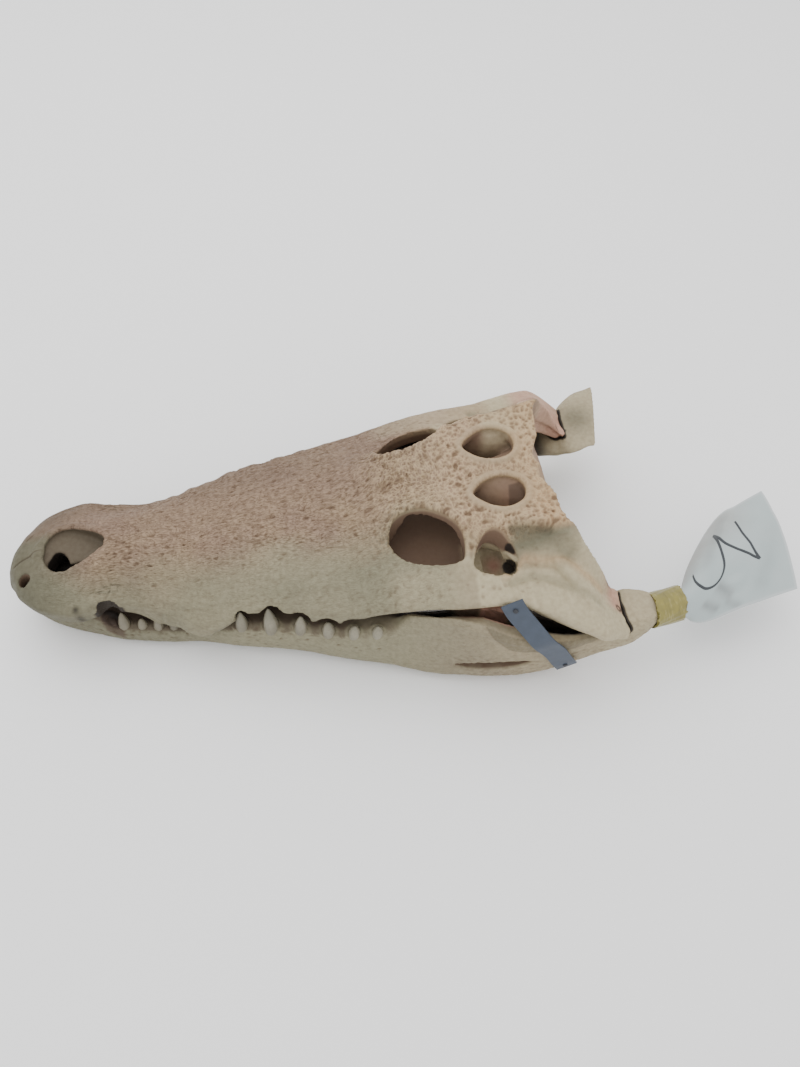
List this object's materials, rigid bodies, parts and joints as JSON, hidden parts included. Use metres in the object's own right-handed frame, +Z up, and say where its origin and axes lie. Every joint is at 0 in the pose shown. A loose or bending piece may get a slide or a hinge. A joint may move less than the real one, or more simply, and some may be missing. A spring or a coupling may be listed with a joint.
{
  "type": "crocodile skull",
  "caption": "Life-size crocodile skull lying with its lower jaw closed under it, the jaw held by a small pinned strap, with a paper label taped to the jaw's rear end.",
  "frame": {"origin": "under the middle of the whole object's box, on the plane that it rests on", "axes": "+X from the snout tip towards the back of the head, +Y towards the animal's right, +Z up"},
  "size_m": [0.625, 0.2596, 0.1365],
  "materials": {
    "skull_bone": "dry bone, matte, pinkish beige, pitted",
    "jaw_bone": "dry bone, matte, greenish grey cream",
    "strap": "satin, blue grey",
    "pin": "dull dark steel",
    "tape": "aged, olive yellow, half glossy",
    "paper": "stiff white paper, slightly blue"
  },
  "bodies": {
    "root": {"premaxilla": "skull_bone", "snout": "skull_bone", "forehead": "skull_bone", "skull_table": "skull_bone", "cheek_left": "skull_bone", "cheek_right": "skull_bone", "jaw_joint_left": "skull_bone", "jaw_joint_right": "skull_bone", "palate": "skull_bone", "dentary_left": "jaw_bone", "dentary_right": "jaw_bone", "jaw_rear_left": "jaw_bone", "jaw_rear_right": "jaw_bone", "jaw_strap": "strap", "strap_pin_top": "pin", "strap_pin_bottom": "pin", "tape": "tape", "paper_label": "paper"}
  },
  "joints": []
}
